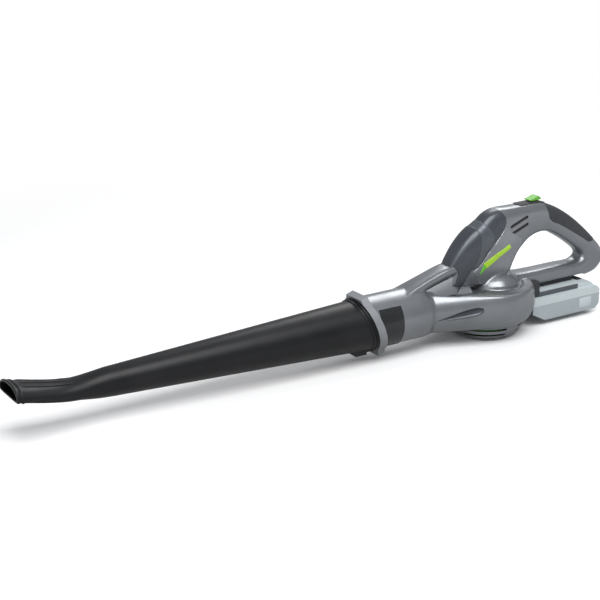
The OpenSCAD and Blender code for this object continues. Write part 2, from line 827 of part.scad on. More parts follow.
module blower_tube() {
    color("#1f2023") difference() {
        union() {
            along_x(0) rotate_extrude($fn = 96) polygon([
                [0, joint_x - 30], [tube_outer(joint_x - 30), joint_x - 30],
                [tube_r, joint_x + 2], [tube_outer(tip_start + 2), tip_start + 2], [0, tip_start + 2]]);
            tip_body(0);
        }
        along_x(0) rotate_extrude($fn = 96) polygon([
            [0, joint_x - 40], [tube_outer(joint_x - 40) - tube_wall, joint_x - 40],
            [tube_outer(tip_start + 2) - tube_wall, tip_start + 2], [0, tip_start + 2]]);
        tip_body(tube_wall);
        difference() {
            translate([joint_x - 60, -100, -60]) cube([120, 200, 260]);
            ahead_of_joint(gap);
        }
        translate([joint_x - 40, -7.5, tube_z - tube_r - 6]) cube([70, 15, 12]);
    }
}

// Sprung tongue under the tube that hooks into the spigot's slot
module tube_latch() {
    z = tube_z - tube_r - 4;
    color("#191a1c") {
        translate([joint_x - 3, -6.8, z]) cube([31, 13.6, 4.6]);
        translate([joint_x + 2, -6.8, z - 4]) cube([20, 13.6, 4.2]);
    }
}

// ---------- battery ----------

module pack_outline(skin = 0) {
    polygon([
        [pack_front - 4 - skin, pack_top - skin], [pack_front - skin, pack_z + 18],
        [pack_front - 36, pack_z + skin], [pack_back + 8, pack_z + skin],
        [pack_back + skin, pack_z + 8], [pack_back + skin, pack_z + 34],
        [pack_back + 6, pack_top - skin]]);
}

pack_seam = 27;
module battery_lower_case() {
    color("#b9c1c5") difference() {
        slab(-pack_hw, pack_hw) pack_outline();
        slab(-pack_hw + wall, pack_hw - wall) pack_outline(wall);
        translate([-300, -60, pack_z + pack_seam]) cube([300, 120, 60]);
        cylinder(r = belly_r + 1.5, h = 90, $fn = 96);
        battery_screw_places() cylinder(r = screw_r + 0.1, h = 30, $fn = 32);
        battery_screw_places() cylinder(r = 3, h = 3.2, $fn = 32);
    }
    color("#b9c1c5") battery_screw_places() difference() {
        translate([0, 0, 3.2]) cylinder(r = boss_r, h = pack_seam - 2.2, $fn = 32);
        cylinder(r = screw_r + 0.1, h = 40, $fn = 32);
    }
}

module battery_screw_places() {
    for (x = [pack_back + 11, pack_front - 44]) for (y = [-24, 24]) translate([x, y, pack_z - 1]) children();
}

module battery_upper_case() {
    block_front = holder_back - 1.2;
    block_back = -192;
    color("#c6cdd0") difference() {
        union() {
            difference() {
                slab(-pack_hw, pack_hw) pack_outline();
                slab(-pack_hw + wall, pack_hw - wall) pack_outline(wall);
                translate([-300, -60, -10]) cube([300, 120, 10 + pack_z + pack_seam + 0.02]);
                translate([block_back, -block_hw + wall, 0]) cube([block_front - block_back, 2 * (block_hw - wall), 90]);
            }
            difference() {
                translate([block_back - 0.5, -block_hw, pack_top - wall]) cube([block_front - block_back, 2 * block_hw, block_top - pack_top + wall]);
                translate([block_back + wall, -block_hw + wall, pack_top - wall - 1])
                    cube([block_front - block_back - 2 * wall, 2 * (block_hw - wall), 1.5]);
            }
                // bosses for the screws
            battery_screw_places() translate([0, 0, pack_seam + 1.02]) difference() {
                cylinder(r = boss_r, h = pack_top - pack_z - pack_seam - 1, $fn = 32);
                translate([0, 0, -1]) cylinder(r = screw_r + 0.05, h = 8, $fn = 32);
            }
            // raised rear block round the release button
            slab(-block_hw, block_hw) polygon([
                [block_back + 1, pack_top - 2], [block_back + 1, block_top - 1.5],
                [block_back - 18, block_top - 1.5], [block_back - 25, pack_top + 3],
                [block_back - 26, pack_top - 2]]);
        }
        rail_bar(rail_gap);
        // slots for the terminal blades
        for (y = [-blade_y, blade_y]) translate([holder_back - 14, y - 1.4, pack_top + 0.6]) cube([18, 2.8, 7.6]);
        cylinder(r = belly_r + 1.5, h = 90, $fn = 96);
        // pocket of the release button
        translate([block_back - 16, -11.4, pack_top - 4.2]) cube([12.4, 22.8, 40]);
    }
}

module battery_button() {
    color("#8c9498") {
        translate([-207.4, -11, pack_top + 0.2]) cube([10.6, 22, block_top - pack_top - 0.6]);
    }
}

module battery_cells() {
    rows = 5;
    color("#3d7fb3") for (k = [0 : rows - 1])
        translate([pack_back + 25 + k * (2 * cell_r + 0.4), -cell_len / 2, pack_z + wall + 0.2 + cell_r])
            rotate([-90, 0, 0]) cylinder(r = cell_r, h = cell_len, $fn = 48);
}

module battery_contacts() {
    color("#d2b15a") for (y = [-blade_y, blade_y]) for (s = [-1, 1])
        translate([holder_back - 12, y + s * 0.9 - 0.15, pack_top + 0.7]) cube([6, 0.3, 7]);
}

module battery_screws() {
    color("#6f7276") battery_screw_places() translate([0, 0, 1.8]) screw(2.8, 1.4, pack_seam + 4);
}

left_housing();
right_housing();
collar_ring();
tube_spigot();
neck_band_left();
neck_band_right();
intake_grille();
inlet_ring();
grip_overmold();
switch_plate();
side_accent_left();
side_accent_right();
motor_can();
motor_mount();
bearing_lower();
bearing_upper();
brush_holders();
control_board();
microswitch();
rail_holder();
terminal_blades();
power_leads();
housing_screws();
grille_screws();
mount_screws();
fan_wheel();
motor_shaft();
rotor_core();
commutator();
shaft_nut();
blower_tube();
tube_latch();
switch_slider();
battery_lower_case();
battery_upper_case();
battery_cells();
battery_contacts();
battery_screws();
battery_button();
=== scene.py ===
"""Looks of a cordless leaf blower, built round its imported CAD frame.

Run inside Blender. Every length in the settings is in metres unless it says millimetres.
The shapes below repeat the CAD's own stations, so the looks sit where the solids are.
"""
import math

import bmesh
import bpy
from mathutils import Matrix, Vector
from mathutils.bvhtree import BVHTree


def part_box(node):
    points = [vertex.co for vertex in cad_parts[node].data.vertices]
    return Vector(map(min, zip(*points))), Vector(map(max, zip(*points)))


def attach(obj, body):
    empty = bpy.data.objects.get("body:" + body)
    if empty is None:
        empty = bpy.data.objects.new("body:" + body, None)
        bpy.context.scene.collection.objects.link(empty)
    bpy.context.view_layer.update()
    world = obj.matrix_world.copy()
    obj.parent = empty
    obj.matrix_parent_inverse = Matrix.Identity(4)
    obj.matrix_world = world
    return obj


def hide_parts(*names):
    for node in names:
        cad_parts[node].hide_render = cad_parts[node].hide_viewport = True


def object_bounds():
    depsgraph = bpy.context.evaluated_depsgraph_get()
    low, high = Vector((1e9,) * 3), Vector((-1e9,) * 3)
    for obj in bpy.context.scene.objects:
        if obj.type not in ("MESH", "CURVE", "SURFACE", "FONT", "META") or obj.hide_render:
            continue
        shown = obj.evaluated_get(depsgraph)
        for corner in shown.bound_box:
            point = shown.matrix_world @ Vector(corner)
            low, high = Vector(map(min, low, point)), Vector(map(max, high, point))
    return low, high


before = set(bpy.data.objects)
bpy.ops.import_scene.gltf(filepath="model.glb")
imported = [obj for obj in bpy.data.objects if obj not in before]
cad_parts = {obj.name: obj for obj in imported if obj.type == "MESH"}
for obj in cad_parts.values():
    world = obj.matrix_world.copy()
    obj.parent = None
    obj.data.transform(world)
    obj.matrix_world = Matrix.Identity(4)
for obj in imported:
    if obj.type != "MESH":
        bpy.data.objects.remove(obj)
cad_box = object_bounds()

bl_info = {
    "name": "Leaf blower looks",
    "version": (1, 0, 0),
    "blender": (4, 5, 0),
    "location": "View3D > Sidebar > Leaf blower",
    "description": "Builds the visible surfaces, finishes, light and camera of a cordless leaf blower",
    "category": "Object",
}

MM = 0.001


# ---------- places read from the CAD ----------

def edge(node, axis, high):
    """One side of a CAD node's box, in millimetres."""
    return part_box(node)[1 if high else 0]["xyz".index(axis)] / MM


def middle(node, axis):
    return (edge(node, axis, False) + edge(node, axis, True)) / 2


LEAN = math.radians(19)
TUBE_Z = middle("tube_spigot", "z")
HANDLE_Z = edge("switch_plate", "z", False) + 4
BAR_LOW = edge("rail_holder", "z", True) - 10
BAR_Z = 91
BACK = 255
HALF_WIDTH = 18.5
JOINT_X = edge("tube_latch", "x", False) + 3
MOUTH_X = edge("blower_tube", "x", True)
TIP_X = MOUTH_X - 135
BELLY_R = edge("left_housing", "y", True)
BELLY_LOW = 28.3
FLOOR_R = edge("intake_grille", "x", True) + 2.5
NECK_R = 43.6
TUBE_R = 42.2
TIP_R = 21.2


# ---------- stations of the casing, in millimetres ----------
# each is outer x, outer z, inner x, inner z, half width

def spine_stations():
    h, b, w = HANDLE_Z, BACK, HALF_WIDTH
    return [
        (94, 96, -42, 84, 19), (85, 122, -50, 106, 21), (72, 144, -56, 120, 22.5),
        (57, 162, -62, 131, 23.5), (40, 177, -69, 138, 23.2), (20, 189, -76, 143.5, 22),
        (2, h - 6, -83, 148, 21), (-20, h, -90, 151, 20),
        (-48, h, -97, 153.5, w + 0.8), (-78, h, -105, 155, w + 0.3),
        (-107, h - 1, -114, 155.5, w), (-137, h - 12, -127, 153, w),
        (-162, h - 26, -142, 146, w), (-185, h - 42, -160, 135.5, w),
        (-208, h - 61, -179, 123, w), (23 - b, h - 83, -194, 112, w),
        (8 - b, h - 99, -201, 105, w), (-b, h - 114, -203, 99, w),
        (5 - b, h - 128, -198, BAR_Z + 3, w), (19 - b, BAR_LOW + 2, -188, BAR_Z, w + 0.2),
        (41 - b, BAR_LOW - 3, -172, BAR_Z, w + 0.3),
    ]


def bar_stations():
    b, w = BACK, HALF_WIDTH
    return [
        (32 - b, BAR_LOW - 0.4, -177, BAR_Z - 0.7, w - 0.3),
        (-190, BAR_LOW, -160, BAR_Z, w + 0.4), (-150, BAR_LOW, -135, BAR_Z, w + 0.5),
        (-110, BAR_LOW, -105, BAR_Z, w + 0.5), (-72, BAR_LOW, -72, BAR_Z + 1, w + 1),
        (-40, BAR_LOW + 8, -42, BAR_Z + 4, w + 2),
    ]


STRUT = [
    (182, 99, 176, 88, 22), (166, 104, 164, 89, 21), (150, 109.5, 145, 94, 19.5),
    (120, 119, 115, 102.5, 18), (92, 127, 86, 110, 18), (66, 131, 62, 114, 18),
]


# ---------- mesh helpers ----------

def new_object(name, points, faces):
    """A mesh object from points in millimetres."""
    mesh = bpy.data.meshes.new(name)
    mesh.from_pydata([(p[0] * MM, p[1] * MM, p[2] * MM) for p in points], [], faces)
    mesh.validate()
    made = bpy.data.objects.new(name, mesh)
    bpy.context.scene.collection.objects.link(made)
    face_outwards(made)
    return made


def face_outwards(made):
    """Turns every face of a closed mesh outwards."""
    bm = bmesh.new()
    bm.from_mesh(made.data)
    bmesh.ops.recalc_face_normals(bm, faces=bm.faces)
    bm.to_mesh(made.data)
    bm.free()


def ring_solid(name, rings):
    """A closed solid through rings that hold the same number of points."""
    count = len(rings[0])
    points = [p for ring in rings for p in ring]
    faces = []
    for i in range(len(rings) - 1):
        for j in range(count):
            k = (j + 1) % count
            faces.append((i * count + j, i * count + k, (i + 1) * count + k, (i + 1) * count + j))
    faces.append(tuple(range(count)))
    faces.append(tuple((len(rings) - 1) * count + j for j in reversed(range(count))))
    return new_object(name, points, faces)


def signed_power(v, p):
    """v to the power p, with v's sign kept."""
    return math.copysign(abs(v) ** p, v)


def spline_point(a, b, c, d, t):
    """The point at t between b and c on a smooth curve that passes through all four."""
    return tuple(
        0.5 * (2 * q + (r - p) * t + (2 * p - 5 * q + 4 * r - s) * t * t
               + (3 * q - p - 3 * r + s) * t ** 3)
        for p, q, r, s in zip(a, b, c, d))


def smooth_stations(stations, steps):
    """Extra stations on a smooth curve through the given ones."""
    out = []
    last = len(stations) - 1
    for i in range(last):
        a = stations[max(i - 1, 0)]
        b = stations[i]
        c = stations[i + 1]
        d = stations[min(i + 2, last)]
        for k in range(steps):
            out.append(spline_point(a, b, c, d, k / steps))
    out.append(stations[last])
    return out


def section(station, skin, count, roundness):
    """One ring of a limb: an oval across its station, let in by skin."""
    ox, oz, ix, iz, w = station
    cx, cz = (ox + ix) / 2, (oz + iz) / 2
    hx, hz = (ox - ix) / 2, (oz - iz) / 2
    size = math.hypot(hx, hz)
    tx = hx * (size - skin) / size
    tz = hz * (size - skin) / size
    ring = []
    for j in range(count):
        a = 2 * math.pi * (j + 0.5) / count
        along = signed_power(math.cos(a), roundness)
        across = (w - skin) * signed_power(math.sin(a), roundness)
        ring.append((cx + tx * along, across, cz + tz * along))
    return ring


def loft(name, stations, skin=0.0, count=40, roundness=0.62, steps=5):
    """A smooth limb through its stations."""
    rings = [section(s, skin, count, roundness) for s in smooth_stations(stations, steps)]
    return ring_solid(name, rings)


def lathe(name, profile, steps=128, axis="z", centre=(0, 0, 0)):
    """Turns (radius, height) points round an upright or a lengthwise axis."""
    rings = []
    for r, h in profile:
        ring = []
        for j in range(steps):
            a = 2 * math.pi * j / steps
            if axis == "z":
                ring.append((centre[0] + r * math.cos(a), centre[1] + r * math.sin(a), centre[2] + h))
            else:
                ring.append((centre[0] + h, centre[1] + r * math.cos(a), centre[2] + r * math.sin(a)))
        rings.append(ring)
    return ring_solid(name, rings)


def slab(name, outline, y0, y1):
    """A drawing in (x, z) made into a plate across y."""
    low = [(p[0], y0, p[1]) for p in outline]
    high = [(p[0], y1, p[1]) for p in outline]
    return ring_solid(name, [low, high])


def hull(name, points):
    """The tightest bulging solid round some points."""
    made = new_object(name, points, [])
    bm = bmesh.new()
    bm.from_mesh(made.data)
    done = bmesh.ops.convex_hull(bm, input=bm.verts)
    loose = [g for g in done["geom_interior"] if isinstance(g, bmesh.types.BMVert)]
    bmesh.ops.delete(bm, geom=loose, context="VERTS")
    bmesh.ops.recalc_face_normals(bm, faces=bm.faces)
    bm.to_mesh(made.data)
    bm.free()
    return made


def half_round(r, cx, start, count=10):
    """Half a circle about (cx, 0), from the start angle in degrees."""
    turns = [math.radians(start + 180 * k / count) for k in range(count + 1)]
    return [(cx + r * math.cos(a), r * math.sin(a)) for a in turns]


def curve_outline(points, steps=6):
    """A smooth closed outline through points."""
    n = len(points)
    out = []
    for i in range(n):
        a, b, c, d = (points[(i + k) % n] for k in (-1, 0, 1, 2))
        for k in range(steps):
            out.append(spline_point(a, b, c, d, k / steps))
    return out


def apply_modifier(made, kind, **values):
    """Adds a modifier with these values and makes its result the mesh."""
    mod = made.modifiers.new(kind.title(), kind)
    for key, value in values.items():
        setattr(mod, key, value)
    bpy.context.view_layer.objects.active = made
    bpy.ops.object.select_all(action="DESELECT")
    made.select_set(True)
    bpy.ops.object.modifier_apply(modifier=mod.name)
    return made


def combine(made, other, how):
    """Boolean of two closed meshes; the second one is used up."""
    before = len(made.data.vertices)
    apply_modifier(made, "BOOLEAN", operation=how, object=other, solver="MANIFOLD")
    if len(made.data.vertices) == 0 or (how != "INTERSECT" and len(made.data.vertices) < before / 8):
        raise RuntimeError("boolean lost " + made.name)
    bpy.data.objects.remove(other)
    return made


def join(objects, name):
    """One object that holds the meshes of several."""
    bm = bmesh.new()
    for o in objects:
        bm.from_mesh(o.data)
    mesh = bpy.data.meshes.new(name)
    bm.to_mesh(mesh)
    bm.free()
    for o in objects:
        bpy.data.objects.remove(o)
    made = bpy.data.objects.new(name, mesh)
    bpy.context.scene.collection.objects.link(made)
    return made


def melt(made, voxel, rounds):
    """Grows the pieces together into one skin with soft edges."""
    apply_modifier(made, "REMESH", mode="VOXEL", voxel_size=voxel * MM, adaptivity=0.0)
    if rounds:
        apply_modifier(made, "SMOOTH", factor=0.5, iterations=rounds)
    return made


def cut_plane(made, point, normal):
    """Takes away what lies on the normal's side of a plane."""
    bm = bmesh.new()
    bm.from_mesh(made.data)
    geom = bm.verts[:] + bm.edges[:] + bm.faces[:]
    done = bmesh.ops.bisect_plane(
        bm, geom=geom, plane_co=Vector(point) * MM, plane_no=normal, clear_outer=True, dist=1e-7)
    edges = [g for g in done["geom_cut"] if isinstance(g, bmesh.types.BMEdge)]
    bmesh.ops.triangle_fill(bm, edges=edges, use_beauty=True)
    bm.to_mesh(made.data)
    bm.free()
    return made


def shade(made, angle=32):
    """Smooth shading that keeps the real edges."""
    limit = math.radians(angle)
    bm = bmesh.new()
    bm.from_mesh(made.data)
    for f in bm.faces:
        f.smooth = True
    for e in bm.edges:
        e.smooth = not (len(e.link_faces) == 2 and e.calc_face_angle(0) > limit)
    bm.to_mesh(made.data)
    bm.free()
    return made


def soften(made, width, segments=2, angle=30):
    return apply_modifier(
        made, "BEVEL", width=width * MM, segments=segments, limit_method="ANGLE",
        angle_limit=math.radians(angle), harden_normals=False)


def copy_of(made, name):
    twin = bpy.data.objects.new(name, made.data.copy())
    bpy.context.scene.collection.objects.link(twin)
    return twin


# ---------- finishes ----------

def linear(hexcode):
    """A colour as the shader wants it, from its usual six-digit code."""
    out = []
    for i in (0, 2, 4):
        v = int(hexcode[i:i + 2], 16) / 255
        out.append(v / 12.92 if v <= 0.04045 else ((v + 0.055) / 1.055) ** 2.4)
    return tuple(out) + (1.0,)


MOTTLE = 18.0        # patches of drifting tint to a metre
SCUFF = 0.25         # strength of the scuff marks


def finish(name, colour, rough, grain, bump, vary, metal=0.0, coat=0.0, specular=0.5):
    """A moulded or machined surface: tint that drifts, fine grain, scuffs and uneven gloss."""
    mat = bpy.data.materials.new(name)
    mat.use_nodes = True
    nodes = mat.node_tree.nodes
    links = mat.node_tree.links
    shader = nodes["Principled BSDF"]
    shader.inputs["Metallic"].default_value = metal
    shader.inputs["Coat Weight"].default_value = coat
    shader.inputs["Coat Roughness"].default_value = 0.12
    shader.inputs["Specular IOR Level"].default_value = specular
    place = nodes.new("ShaderNodeTexCoord")

    def noise(scale, detail, rough_value):
        n = nodes.new("ShaderNodeTexNoise")
        n.inputs["Scale"].default_value = scale
        n.inputs["Detail"].default_value = detail
        n.inputs["Roughness"].default_value = rough_value
        links.new(place.outputs["Object"], n.inputs["Vector"])
        return n.outputs["Fac"]

    def ramp(source, low, high, a, b):
        r = nodes.new("ShaderNodeValToRGB")
        r.color_ramp.elements[0].position = low
        r.color_ramp.elements[1].position = high
        r.color_ramp.elements[0].color = a
        r.color_ramp.elements[1].color = b
        links.new(source, r.inputs["Fac"])
        return r.outputs["Color"]

    def mix(factor, a, b):
        m = nodes.new("ShaderNodeMix")
        m.data_type = "RGBA"
        links.new(factor, m.inputs[0])
        for slot_index, value in ((6, a), (7, b)):
            if isinstance(value, tuple):
                m.inputs[slot_index].default_value = value
            else:
                links.new(value, m.inputs[slot_index])
        return m.outputs[2]

    base = linear(colour)
    dark = tuple(c * (1 - vary) for c in base[:3]) + (1.0,)
    light = tuple(min(c * (1 + vary) + 0.002, 1) for c in base[:3]) + (1.0,)
    worn = tuple(min(c * 1.5 + 0.02, 1) for c in base[:3]) + (1.0,)
    drift = ramp(noise(MOTTLE, 4, 0.55), 0.35, 0.65, dark, light)
    marks = ramp(noise(MOTTLE * 5, 8, 0.75), 0.66, 0.78, (0, 0, 0, 1), (SCUFF, SCUFF, SCUFF, 1))
    links.new(mix(marks, drift, worn), shader.inputs["Base Color"])
    gloss = nodes.new("ShaderNodeMapRange")
    gloss.inputs["To Min"].default_value = max(rough - 0.07, 0.03)
    gloss.inputs["To Max"].default_value = min(rough + 0.09, 1)
    links.new(noise(MOTTLE * 2.3, 5, 0.6), gloss.inputs["Value"])
    links.new(gloss.outputs["Result"], shader.inputs["Roughness"])
    relief = nodes.new("ShaderNodeBump")
    relief.inputs["Strength"].default_value = bump
    relief.inputs["Distance"].default_value = 0.0004
    links.new(noise(grain, 3, 0.6), relief.inputs["Height"])
    links.new(relief.outputs["Normal"], shader.inputs["Normal"])
    return mat


# name: colour, and how the surface behaves
FINISHES = {
    "casing_grey": dict(colour="84878B", rough=0.3, metal=0.75, grain=1400, bump=0.05, vary=0.06, coat=0.1),
    # painted reflection: plate_grey and plate_mid are darker copies of the casing's grey that stand in for
    # the dark reflections on the spine's glossy plates; plate_grey also paints the shade in the duct's
    # hollow, and plate_mid the shade on the battery's rail top
    "plate_grey": dict(colour="4A4E54", rough=0.32, metal=0.5, grain=1500, bump=0.06, vary=0.08),
    "plate_mid": dict(colour="565B61", rough=0.32, metal=0.45, grain=1500, bump=0.05, vary=0.08),
    "web_grey": dict(colour="A2A5A9", rough=0.42, metal=0.3, grain=1300, bump=0.06, vary=0.05),
    # painted light: a lighter copy of the casing's grey for the shield panel, which faces the light
    "panel_grey": dict(colour="8E9195", rough=0.28, metal=0.75, grain=1500, bump=0.05, vary=0.06, coat=0.1),
    "collar_grey": dict(colour="8A8D91", rough=0.4, metal=0.4, grain=1200, bump=0.06, vary=0.05),
    "tube_black": dict(colour="0D0E11", rough=0.38, grain=2200, bump=0.08, vary=0.15, specular=0.34),
    "band_black": dict(colour="15171A", rough=0.26, grain=1800, bump=0.05, vary=0.12, coat=0.2),
    "grip_rubber": dict(colour="37393C", rough=0.6, grain=2600, bump=0.3, vary=0.12, specular=0.35),
    "dark_plastic": dict(colour="26282B", rough=0.45, grain=1800, bump=0.12, vary=0.12),
    "lime_plastic": dict(colour="A2CC2E", rough=0.32, grain=1500, bump=0.05, vary=0.06, coat=0.15),
    "green_plastic": dict(colour="63B42C", rough=0.32, grain=1500, bump=0.05, vary=0.07, coat=0.15),
    "switch_green": dict(colour="55A321", rough=0.34, grain=1500, bump=0.06, vary=0.07, coat=0.15),
    "fan_green": dict(colour="5FAE2E", rough=0.4, grain=1500, bump=0.08, vary=0.1),
    "pack_pale": dict(colour="A2ABAF", rough=0.38, grain=1500, bump=0.08, vary=0.05),
    "pack_top": dict(colour="ADB5B9", rough=0.4, grain=1500, bump=0.08, vary=0.05),
    "steel": dict(colour="8C8F93", rough=0.3, metal=1.0, grain=3000, bump=0.05, vary=0.1),
    "bronze": dict(colour="B59A5A", rough=0.35, metal=1.0, grain=3000, bump=0.05, vary=0.1),
    "copper": dict(colour="A8642F", rough=0.35, metal=1.0, grain=2500, bump=0.1, vary=0.15),
    "board_green": dict(colour="1F5B3A", rough=0.45, grain=2500, bump=0.2, vary=0.15),
    "lead_red": dict(colour="8E2226", rough=0.5, grain=2500, bump=0.1, vary=0.1),
    "cell_blue": dict(colour="3E5F86", rough=0.4, grain=2500, bump=0.05, vary=0.08),
}

NODE_FINISH = {
    "collar_ring": "collar_grey", "tube_spigot": "dark_plastic", "intake_grille": "casing_grey",
    "neck_band_left": "band_black", "neck_band_right": "band_black", "inlet_ring": "dark_plastic",
    "rail_holder": "dark_plastic", "switch_plate": "dark_plastic", "switch_slider": "switch_green",
    "side_accent_left": "lime_plastic", "side_accent_right": "lime_plastic",
    "fan_wheel": "fan_green", "motor_can": "steel", "motor_mount": "dark_plastic",
    "motor_shaft": "steel", "bearing_lower": "bronze", "bearing_upper": "bronze",
    "rotor_core": "copper", "commutator": "copper", "brush_holders": "dark_plastic",
    "shaft_nut": "steel", "housing_screws": "steel", "grille_screws": "steel",
    "mount_screws": "steel", "battery_screws": "steel", "tube_latch": "dark_plastic",
    "microswitch": "dark_plastic", "control_board": "board_green", "power_leads": "lead_red",
    "terminal_blades": "copper", "battery_contacts": "copper", "battery_cells": "cell_blue",
    "battery_lower_case": "pack_pale", "battery_upper_case": "pack_top",
    "battery_button": "dark_plastic",
}


def material(name):
    found = bpy.data.materials.get(name)
    return found or finish(name, **FINISHES[name])


def dress(made, finish_name):
    made.data.materials.clear()
    made.data.materials.append(material(finish_name))
    return made


def settle(made, finish_name, body, node=None, angle=32):
    """Finish, body, slot and the CAD node that a piece stands for."""
    dress(made, finish_name)
    shade(made, angle)
    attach(made, body)
    if node:
        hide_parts(node)
    return made


# ---------- casing ----------

DOME_X = -20        # centre of the motor's dome, behind the fan's axis
PIT_X = -9          # centre of the dished ring round the dome
DUCT_X = 128        # where the duct leaves the fan housing
DUCT_R = 39
SHOULDER = 9        # how far the bowl rounds in at its top
SEGMENTS = 144      # facets round the bowl


def casing_solids():
    """The closed shapes that melt into one casing."""
    along = dict(axis="x", centre=(0, 0, TUBE_Z))
    belly = []
    for k in range(13):
        a = math.radians(7.5 * k)
        r = FLOOR_R + (BELLY_R - FLOOR_R) * math.sin(a)
        belly.append((r, TUBE_Z + (BELLY_LOW - TUBE_Z) * math.cos(a)))
    for k in range(1, 9):
        a = math.radians(7.5 * k)
        rise = 24 * math.sin(a) / math.sin(math.radians(60))
        belly.append((BELLY_R - SHOULDER * (1 - math.cos(a)), TUBE_Z + rise))
    top = belly[-1][1]
    points = [(r * math.cos(t), r * math.sin(t), z) for r, z in belly
              for t in [2 * math.pi * j / SEGMENTS for j in range(SEGMENTS)]]
    points += [(DUCT_X + s, DUCT_R * math.cos(t), TUBE_Z + DUCT_R * math.sin(t)) for s in (0, 1)
               for t in [2 * math.pi * j / 72 for j in range(72)]]
    body = hull("body", points)
    combine(body, valley(), "DIFFERENCE")
    pit = lathe("pit", [
        (0.5, top - 4.5), (50, top - 4.5), (53.5, top - 4), (54.5, top - 2.5), (55.5, top - 0.8),
        (60, top + 0.4),
        (60, 120), (0.5, 120)], centre=(PIT_X, 0, 0))
    combine(body, pit, "DIFFERENCE")
    neck = lathe("neck", [
        (0.5, 119), (37.5, 119), (39.7, 130), (NECK_R - 0.6, 140), (NECK_R + 0.6, 152),
        (NECK_R, JOINT_X - 20), (NECK_R, JOINT_X + 26), (0.5, JOINT_X + 26)], **along)
    dome = lathe("dome", [
        (0.5, 66), (43, 66), (43, top - 3), (42, top + 2), (39.5, 89), (36, 93), (31, 97), (25, 100.4),
        (17, 102.6), (0.5, 103.4)], centre=(DOME_X, 0, 0))
    web = slab("web", [(150, 92), (88, 106), (40, 106), (40, 68), (120, 70), (165, 84)], -12.5, 12.5)
    foot = slab("foot", [(-76, BAR_LOW - 8), (-50, BAR_LOW - 8), (-50, BAR_LOW + 4), (-76, BAR_LOW + 4)],
                -HALF_WIDTH, HALF_WIDTH)
    return [
        body, neck, dome, web, foot,
        loft("spine", spine_stations()),
        loft("bar", bar_stations(), roundness=0.55),
        loft("strut", STRUT),
    ]


def casing_block(voxel):
    """The whole casing in one piece, before the seam is cut."""
    block = melt(join(casing_solids(), "casing"), voxel, 7)
    cut_plane(block, (0, 0, BELLY_LOW), (0, 0, -1))
    cut_plane(block, (JOINT_X - 0.3, 0, TUBE_Z), (math.cos(LEAN), 0, -math.sin(LEAN)))
    # the slots over the control board; dark plates laid behind them paint the shade inside
    for k in (0, 1):
        combine(block, slot_cutter("slot", VENTS[k], 40), "DIFFERENCE")
    for side in (1, -1):
        combine(block, scoop(side), "DIFFERENCE")
    bed = slab("bed", grip_zone(), -45, 45)
    combine(bed, loft("core", spine_stations(), 2.2), "DIFFERENCE")
    combine(block, bed, "DIFFERENCE")
    # room for the fan, seen through the intake
    room = lathe("room", [(0.5, 20), (46, 20), (46, 31), (60, 33), (78, 42), (80, 70), (0.5, 70)], 96)
    combine(block, room, "DIFFERENCE")
    return block


def valley():
    """The hollow between the duct's two shoulders, where the web stands."""
    rings = []
    for x, w, low, high in ((36, 52, 77, 84.5), (60, 49, 77, 85.5), (85, 44, 79, 88.5), (110, 36, 84, 92.5),
                            (132, 28, 90, 97.5), (150, 22, 96, 100.5), (160, 16, 100, 103)):
        half_ring = [(w, 130), (w, high), (0.8 * w, high - 0.45 * (high - low)), (0.55 * w, low + 0.8),
                     (11, low)]
        ring = [(x, y, z) for y, z in half_ring]
        rings.append(ring + [(x, -y, z) for y, z in reversed(half_ring)])
    return ring_solid("valley", rings)


SCOOP_POINT = (128, 37.5, 52)
SCOOP_END = (54, 70, 66)
SCOOP_DEPTH = 7
SCOOP_HALF = 7.5    # half its width


def scoop(side):
    """A long pointed hollow low on the duct's side."""
    rings = []
    steps = 30
    a = Vector(SCOOP_POINT)
    b = Vector(SCOOP_END)
    way = (b - a).normalized()
    out = Vector((0.39, 0.92, 0.0)).normalized()
    down = way.cross(out).normalized()
    for i in range(steps + 1):
        t = i / steps
        if t < 0.8:
            size = math.sin(math.pi * t * 0.62) ** 1.2
        else:
            size = math.sin(math.pi * 0.496) * (1 - ((t - 0.8) / 0.2) ** 2) ** 0.5
        size = max(size, 0.02)
        middle_point = a + (b - a) * t
        ring = []
        for j in range(24):
            w = 2 * math.pi * j / 24
            p = middle_point + out * (SCOOP_DEPTH * size * math.cos(w) + 1.5)
            p += down * (SCOOP_HALF * size * math.sin(w))
            ring.append((p.x, side * p.y, p.z))
        rings.append(ring)
    return ring_solid("scoop", rings)


VENTS = ((-53.5, 183.5), (-54.5, 171.5))
VENT_LEAN = math.radians(18)
VENT_LONG = 41
VENT_WIDE = 5.2


def slot_outline(centre, length, width, lean):
    """A straight slot with round ends, as a drawing in (x, z)."""
    r = width / 2
    run = length / 2 - r
    flat = half_round(r, run, -90) + half_round(r, -run, 90)
    c, s = math.cos(lean), math.sin(lean)
    return [(centre[0] + x * c - z * s, centre[1] + x * s + z * c) for x, z in flat]


def slot_cutter(name, centre, y):
    """A pair of slots from both sides, 3 mm deep at the handle's sides."""
    outline = slot_outline(centre, VENT_LONG, VENT_WIDE, -VENT_LEAN)
    cutter = slab(name, outline, -y, y)
    keep = loft("core", spine_stations(), 3.4)
    return combine(cutter, keep, "DIFFERENCE")


def paint_scoop_shade(half, side):
    """Painted shade: a darker grey on the faces inside the hollow on the duct's side."""
    hollow = scoop(side)
    tree = BVHTree.FromPolygons([v.co for v in hollow.data.vertices],
                                [tuple(f.vertices) for f in hollow.data.polygons])
    bpy.data.objects.remove(hollow)
    # painted shade: the hollow's faces take a darker grey in place of the shade that falls there
    half.data.materials.append(material("plate_grey"))
    for face in half.data.polygons:
        if tree.find_nearest(face.center, 0.25 * MM)[0] is not None:
            face.material_index = 1


